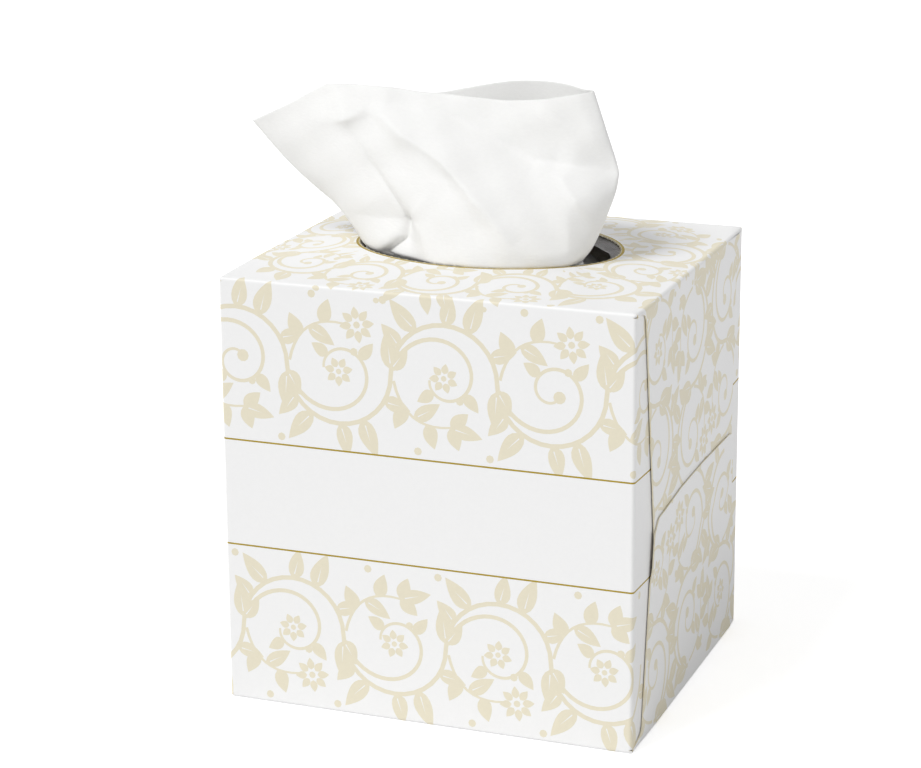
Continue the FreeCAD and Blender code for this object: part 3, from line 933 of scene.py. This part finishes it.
def crease_rise(x, z, crease):
    """How far one crease moves points towards the camera."""
    line, widths, bluntness = crease
    best = np.full(x.shape, 1e9)
    rise = np.zeros(x.shape)
    side = np.zeros(x.shape)
    for a, b in zip(line[:-1], line[1:]):
        length = math.hypot(b[0] - a[0], b[1] - a[1])
        way = ((b[0] - a[0]) / length, (b[1] - a[1]) / length)
        along = np.clip((x - a[0]) * way[0] + (z - a[1]) * way[1], 0, length)
        off = np.hypot(x - a[0] - along * way[0], z - a[1] - along * way[1])
        nearer = off < best
        best = np.where(nearer, off, best)
        rise = np.where(nearer, a[2] + (b[2] - a[2]) * along / length, rise)
        side = np.where(nearer, (z - a[1]) * way[0] - (x - a[0]) * way[1], side)
    width = widths[1] + (widths[0] - widths[1]) * smoothstep(side / (best + 0.2), -0.6, 0.6)
    return rise * np.exp(-(best / width) ** bluntness)


def loosen(grid, passes, weight, axis):
    """Evens a grid out along one axis and keeps both ends of that axis."""
    for _ in range(passes):
        change = ((np.roll(grid, 1, axis) + np.roll(grid, -1, axis)) / 2 - grid) * weight
        if axis == 0:
            change[0] = change[-1] = 0
        else:
            change[:, 0] = change[:, -1] = 0
        grid = grid + change
    return grid


def crown_height(x, clearance):
    """Height over the pack's crown."""
    _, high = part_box("tissue_pack")
    radius = high.x / MM - CROWN_FLAT
    past = np.maximum(0, np.abs(x) - CROWN_FLAT)
    return high.z / MM - radius + np.sqrt((radius + clearance) ** 2 - past ** 2)


def tissue_front(rows, columns):
    grid = patch(along_curve(LEFT_EDGE, rows), along_curve(RIGHT_FOLD, rows),
                 along_curve(RIM_FRONT, columns), along_curve(TOP_EDGE, columns))
    w = np.linspace(0, 1, columns)[None, :]
    t = np.linspace(0, 1, rows)[:, None]
    grid[..., 1] -= 3.2 * np.sin(math.pi * w) * np.sin(math.pi * t ** 0.8) ** 0.8
    x = grid[..., 0] - SIGHT[0] * grid[..., 1]
    z = grid[..., 2] - SIGHT[1] * grid[..., 1]
    rise = sum(crease_rise(x, z, crease) for crease in CREASES)
    hold = smoothstep(w, 0, 0.04) * smoothstep(1 - w, 0, 0.03)
    hold = np.where(rise > 0, hold * smoothstep(t, -0.02, 0.12), hold)
    ripple = 0.25 * np.sin(0.52 * x + 0.3 * z) + 0.2 * np.sin(0.41 * z - 0.23 * x + 1)
    grid[..., 1] -= (rise + ripple) * hold
    return grid


def tissue_back(rows, columns):
    grid = patch(along_curve(RIGHT_FOLD, rows), along_curve(BACK_LEFT, rows),
                 along_curve(RIM_BACK, columns), along_curve(BACK_TOP, columns))
    w = np.linspace(0, 1, columns)[None, :]
    t = np.linspace(0, 1, rows)[:, None]
    grid[..., 1] -= 3.2 * np.sin(math.pi * w) * np.sin(math.pi * t)
    wave = np.sin(w * 15 + 2.4 * t) * np.sin(math.pi * w) ** 0.6
    grid[..., 1] += wave * (1.3 - 0.7 * t + 0.9 * np.sin(math.pi * t))
    return grid


def tissue_root(rim, rows):
    """Rows under the rim: down through the slit, then out over the pack on both sides."""
    count = len(rim)
    turns = np.concatenate((np.radians(np.linspace(172, 345, count // 2 + 1)),
                            np.radians(np.linspace(345, 520, count - count // 2)[1:])))
    middle = np.array((-2.0, -6.0))
    slit = np.stack((middle[0] + 32.5 * np.cos(turns), middle[1] + 11.4 * np.sin(turns),
                     np.full(count, 123.4)), axis=1)
    pleat = 0.9 * np.sin(np.linspace(0, 17 * TAU, count))
    slit[:, 1] += pleat
    below = slit.copy()
    below[:, 2] = 120.0
    seat = 0.45
    root = slit.copy()
    root[:, :2] = (slit[:, :2] - middle) * 1.18 + middle
    root[:, 1] += pleat
    root[:, 2] = crown_height(root[:, 0], seat + 1.6)
    skirt = np.stack((middle[0] + 42 * np.cos(turns), np.where(np.sin(turns) < 0, 43, 41) * np.sin(turns),
                      np.zeros(count)), axis=1)
    skirt[:, 1] += pleat
    skirt[:, 2] = crown_height(skirt[:, 0], seat)
    rests = root * 0.35 + skirt * 0.65
    rests[:, 2] = crown_height(rests[:, 0], seat + 0.4)
    neck = rim * (0.985, 0.985, 1)
    neck[:, 2] = RIM_LEVEL - 0.9
    keys = np.stack((skirt, rests, root, below, slit, neck, rim))
    shares = np.array((0, 0.32, 0.58, 0.7, 0.82, 0.94, 1.0))
    wanted = np.linspace(0, 1, rows)
    out = np.empty((rows, count, 3))
    for axis in range(3):
        for j in range(count):
            out[:, j, axis] = np.interp(wanted, shares, keys[:, j, axis])
    return loosen(out, 2, 0.5, 0)


def build_tissue():
    rows, front_columns, back_columns = 104, 196, 96
    front = tissue_front(rows, front_columns)
    back = tissue_back(rows, back_columns)
    stand = np.concatenate((front, back[:, 1:]), axis=1)
    root = tissue_root(stand[0], 30)
    grid = np.concatenate((root[:-1], stand), axis=0)
    fold = slice(front_columns - 10, front_columns + 9)
    grid[:, fold] = loosen(grid[:, fold], 7, 0.8, 1)
    grid = loosen(grid, 1, 0.4, 1)
    grid = loosen(grid, 1, 0.4, 0)
    mesh = grid_mesh("tissue_sheet", grid, tissue_material())
    piece = new_object("tissue_sheet", mesh, "popup_tissue")
    thicken(piece, TISSUE_THICKNESS)


# Film under the hole

LIP = ((36.5, -2.0), (34.9, 1.0), (31.3, 4.5), (28.1, 7.4), (18.0, 9.8), (0.0, 10.8), (-18.0, 10.4),
       (-29.0, 8.6), (-35.0, 4.0), (-36.6, -2.0), (-35.0, -8.5), (-27.0, -17.0), (-14.0, -22.5),
       (0.0, -24.3), (14.0, -22.5), (27.0, -17.0), (34.0, -9.5))
FILM_THICKNESS = 0.06


def film_ring(lip, outer, turns, share):
    """Points of the film a share of the way from the slit's lip to its outer edge."""
    ring = lip + (outer - lip) * share
    x, y = ring[:, 0], ring[:, 1]
    out = np.hypot(x / HOLE[0], y / HOLE[1])
    level = np.array([swell(a, b) for a, b in zip(x, y)])
    edge = np.array([swell(a / k, b / k) for a, b, k in zip(x, y, np.maximum(out, 0.05))])
    curl = np.exp(-(share / 0.14) ** 2)
    rise = 1.3 * curl * smoothstep(y, -4, 5) - 1.2 * curl * smoothstep(-y, 8, 14)
    crinkle = np.sin(9 * turns + 14 * share) + 0.6 * np.sin(23 * turns - 9 * share)
    ring[:, 2] = HEIGHT - CAD_BOARD - 0.12 + np.where(out > 1, level, edge)
    ring[:, 2] += (rise + 0.3 * crinkle * np.exp(-((out - 0.9) / 0.1) ** 2)) * (out < 1)
    ring[:, 2] -= 0.5 * smoothstep(1 - out, 0, 0.12)
    return ring


def build_film():
    """Hazy film across the hole, its slit pushed open towards the front by the tissue."""
    rings, columns = 26, 200
    lip = along_curve([(x, y, 0) for x, y in LIP + LIP[:1]], columns + 1)[:-1]
    turns = np.arctan2(lip[:, 1] + 3, lip[:, 0])
    _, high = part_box("slit_film")
    stretch = 1 / np.maximum(np.abs(np.cos(turns)) / (high.x / MM), np.abs(np.sin(turns)) / (high.y / MM))
    outer = np.stack((stretch * np.cos(turns), stretch * np.sin(turns), np.zeros(columns)), axis=1)
    grid = np.stack([film_ring(lip, outer, turns, share ** 1.3) for share in np.linspace(0, 1, rings)])
    mesh = grid_mesh("film_sheet", grid, film_material(), closed=True)
    thicken(new_object("film_sheet", mesh, "slit_film"), FILM_THICKNESS)


# Pack of interfolded tissues inside

def leaf_arch(half, top, base, inset):
    """Path of one leaf of the arch as seen from the front, as (x, z)."""
    reach = half - inset
    radius = max(reach - CROWN_FLAT, 0.4)
    ceiling = top - inset
    path = [(-reach, base), (-reach, (base + ceiling - radius) / 2)]
    for k in range(ARCH_STEPS + 1):
        angle = math.pi - math.pi / 2 * k / ARCH_STEPS
        path.append((radius - reach + radius * math.cos(angle), ceiling - radius + radius * math.sin(angle)))
    return path + [(-x, z) for x, z in path[::-1]]


def build_pack():
    """Leaves of the arch: each one stands a little further out or in at the front and back."""
    low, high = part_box("tissue_pack")
    half, deep, top, base = high.x / MM, high.y / MM, high.z / MM, low.z / MM
    draw = random.Random(5)
    points, faces = [], []
    paths = [leaf_arch(half, top, base, half * 0.985 * k / LEAVES) for k in range(LEAVES + 1)]
    wide = len(paths[0])
    for side in (-1, 1):
        for k in range(LEAVES):
            reach = deep - 0.55 * draw.random() - 0.05
            first = len(points)
            for path in (paths[k], paths[k + 1]):
                points += [(x, side * reach, z) for x, z in path]
            for j in range(wide - 1):
                face = (first + j, first + j + 1, first + wide + j + 1, first + wide + j)
                faces.append(face if side < 0 else face[::-1])
    first = len(points)
    for y in (-deep + 0.3, deep - 0.3):
        points += [(x, y, z) for x, z in paths[0]]
    for j in range(wide - 1):
        faces.append((first + j, first + wide + j, first + wide + j + 1, first + j + 1))
    faces.append((first, first + wide - 1, first + 2 * wide - 1, first + wide))
    mesh = bpy.data.meshes.new("packed_leaves")
    mesh.from_pydata([tuple(value * MM for value in point) for point in points], [], faces)
    mesh.materials.append(leaf_material())
    mesh.update()
    new_object("packed_leaves", mesh, "tissue_pack")


# Stage, lights and camera

def build_floor():
    """White floor that takes the object's shadow, with a glow that only the camera sees."""
    half = 4.0
    corners = [(-half, -half, 0), (half, -half, 0), (half, half, 0), (-half, half, 0)]
    mesh = bpy.data.meshes.new("floor")
    mesh.from_pydata(corners, [], [(0, 1, 2, 3)])
    material, shader = new_material("floor_white", (0.97, 0.97, 0.97), 1.0, 0.0)
    tree = material.node_tree
    rays = tree.nodes.new("ShaderNodeLightPath")
    glow = tree.nodes.new("ShaderNodeMath")
    glow.operation = "MULTIPLY"
    glow.inputs[1].default_value = FLOOR_GLOW
    tree.links.new(rays.outputs["Is Camera Ray"], glow.inputs[0])
    tree.links.new(glow.outputs["Value"], shader.inputs["Emission Strength"])
    shader.inputs["Emission Color"].default_value = (1, 1, 1, 1)
    mesh.materials.append(material)
    floor = bpy.data.objects.new("floor", mesh)
    bpy.context.scene.collection.objects.link(floor)


def build_world(strength):
    """Even pale surroundings; seen directly or mirrored they are plain white."""
    world = bpy.data.worlds.new("studio")
    bpy.context.scene.world = world
    world.use_nodes = True
    tree = world.node_tree
    background = tree.nodes["Background"]
    background.inputs["Color"].default_value = (1, 1, 1, 1)
    rays = tree.nodes.new("ShaderNodeLightPath")
    seen = tree.nodes.new("ShaderNodeMath")
    seen.operation = "MAXIMUM"
    mirrored = tree.nodes.new("ShaderNodeMath")
    mirrored.operation = "MAXIMUM"
    level = tree.nodes.new("ShaderNodeMapRange")
    level.inputs["To Min"].default_value = strength
    level.inputs["To Max"].default_value = 1.0
    tree.links.new(rays.outputs["Is Camera Ray"], seen.inputs[0])
    tree.links.new(rays.outputs["Is Transmission Ray"], seen.inputs[1])
    tree.links.new(seen.outputs["Value"], mirrored.inputs[0])
    tree.links.new(rays.outputs["Is Glossy Ray"], mirrored.inputs[1])
    tree.links.new(mirrored.outputs["Value"], level.inputs["Value"])
    tree.links.new(level.outputs["Result"], background.inputs["Strength"])


def add_sun(name, towards, strength, spread):
    """Even light from one side, its disc wide enough for soft shadows."""
    data = bpy.data.lights.new(name, "SUN")
    data.energy = strength
    data.angle = math.radians(spread)
    light = bpy.data.objects.new(name, data)
    light.rotation_mode = "QUATERNION"
    light.rotation_quaternion = Vector(towards).to_track_quat("-Z", "Y")
    bpy.context.scene.collection.objects.link(light)


def build_camera():
    data = bpy.data.cameras.new("camera")
    data.sensor_width = SENSOR
    data.lens = LENS
    data.shift_y = SHIFT_UP
    data.clip_start = 0.01
    camera = bpy.data.objects.new("camera", data)
    turn = (Matrix.Rotation(math.radians(CAMERA_YAW), 4, "Z")
            @ Matrix.Rotation(math.radians(90 - CAMERA_PITCH), 4, "X")
            @ Matrix.Rotation(math.radians(CAMERA_ROLL), 4, "Z"))
    camera.matrix_world = Matrix.Translation(CAMERA_AT) @ turn
    bpy.context.scene.collection.objects.link(camera)
    bpy.context.scene.camera = camera


bpy.context.scene.view_settings.view_transform = "Standard"
build_carton()
build_film()
build_pack()
build_tissue()
build_floor()
build_world(SKY)
add_sun("key", SUN_WAY, SUN, SUN_SPREAD)
build_camera()
